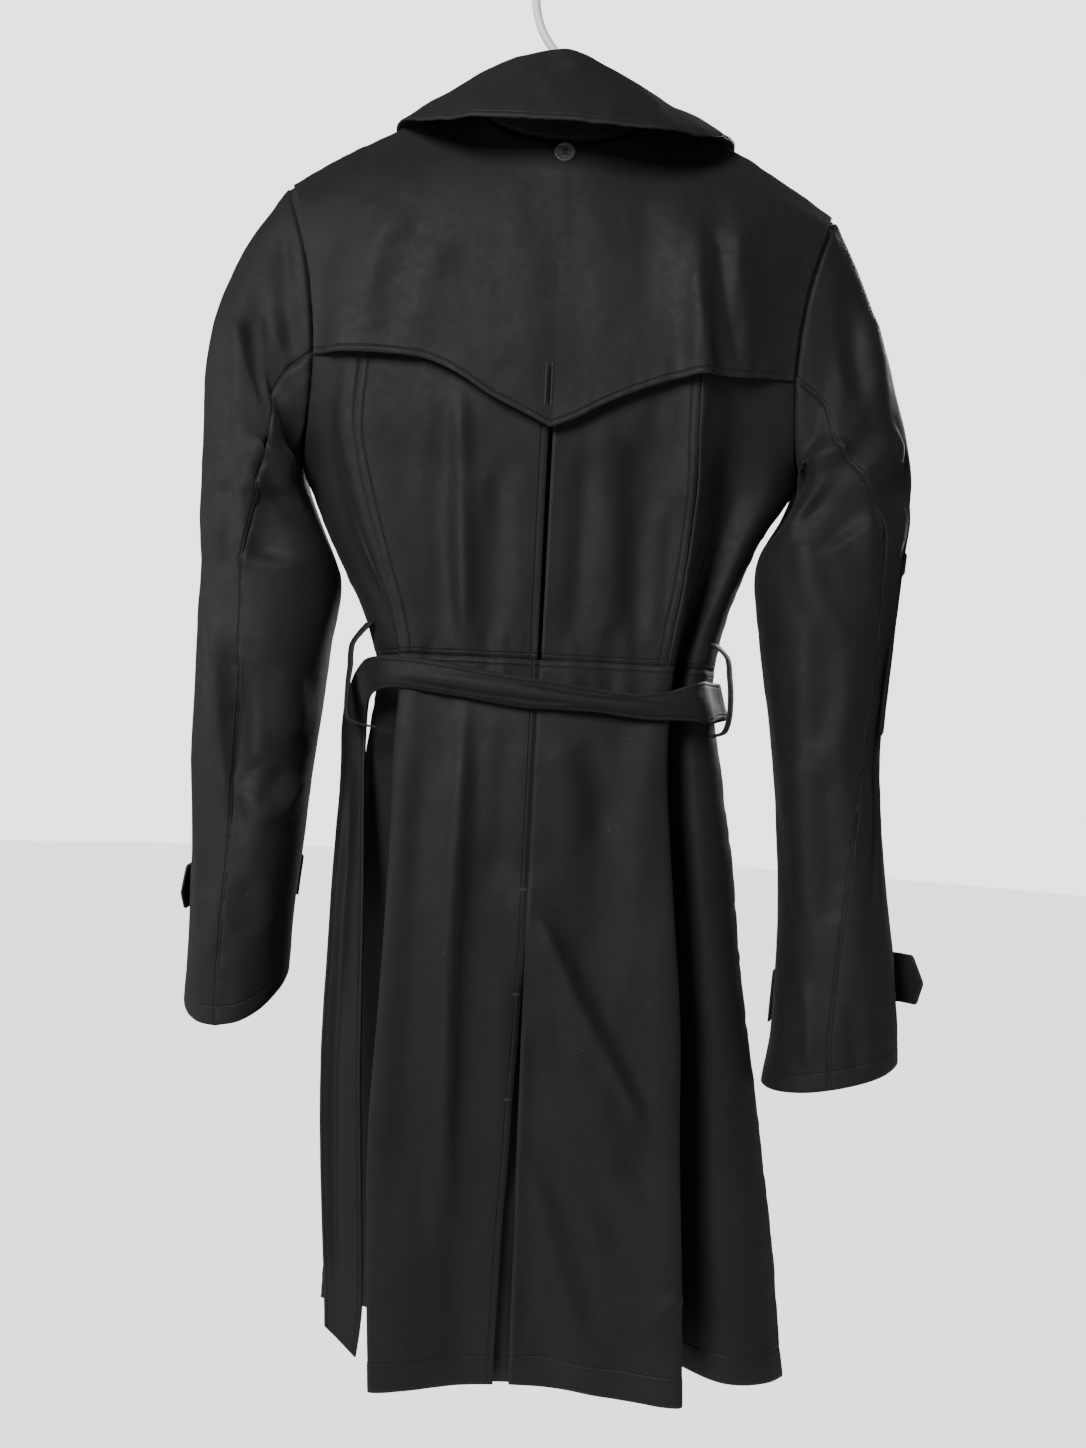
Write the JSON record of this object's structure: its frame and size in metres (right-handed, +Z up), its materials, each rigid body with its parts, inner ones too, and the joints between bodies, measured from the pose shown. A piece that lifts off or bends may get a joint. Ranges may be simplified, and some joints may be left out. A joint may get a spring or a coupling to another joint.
{
  "type": "trench coat on a hanger",
  "caption": "Knee-length belted trench coat with storm flap, turned-down collar, cuff straps and open back vent, hanging on a tube hanger.",
  "frame": {"origin": "the point inside the hanger's hook that bears on the rail", "axes": "+Z up, the coat's front faces -Y and its back faces +Y, and the wearer's left is +X"},
  "size_m": [0.5872, 0.2031, 1.107],
  "materials": {
    "gabardine": "smooth black twill with a soft satin sheen",
    "horn": "polished dark button resin",
    "plastic": "smooth white"
  },
  "bodies": {
    "root": {"belt": "gabardine", "belt_loop_left": "gabardine", "belt_loop_right": "gabardine", "bodice_back_left": "gabardine", "bodice_back_right": "gabardine", "bodice_side_left": "gabardine", "bodice_side_right": "gabardine", "button_front_1": "horn", "button_front_2": "horn", "button_front_3": "horn", "button_front_4": "horn", "button_neck": "horn", "collar_fall": "gabardine", "collar_stand": "gabardine", "cuff_strap_left": "gabardine", "cuff_strap_right": "gabardine", "front_left": "gabardine", "front_right": "gabardine", "hanger": "plastic", "lapel_left": "gabardine", "lapel_right": "gabardine", "pleat_underlay": "gabardine", "skirt_back_left": "gabardine", "skirt_back_right": "gabardine", "sleeve_left_top": "gabardine", "sleeve_left_under": "gabardine", "sleeve_right_top": "gabardine", "sleeve_right_under": "gabardine", "storm_flap": "gabardine", "vent_underlap": "gabardine"}
  },
  "joints": []
}
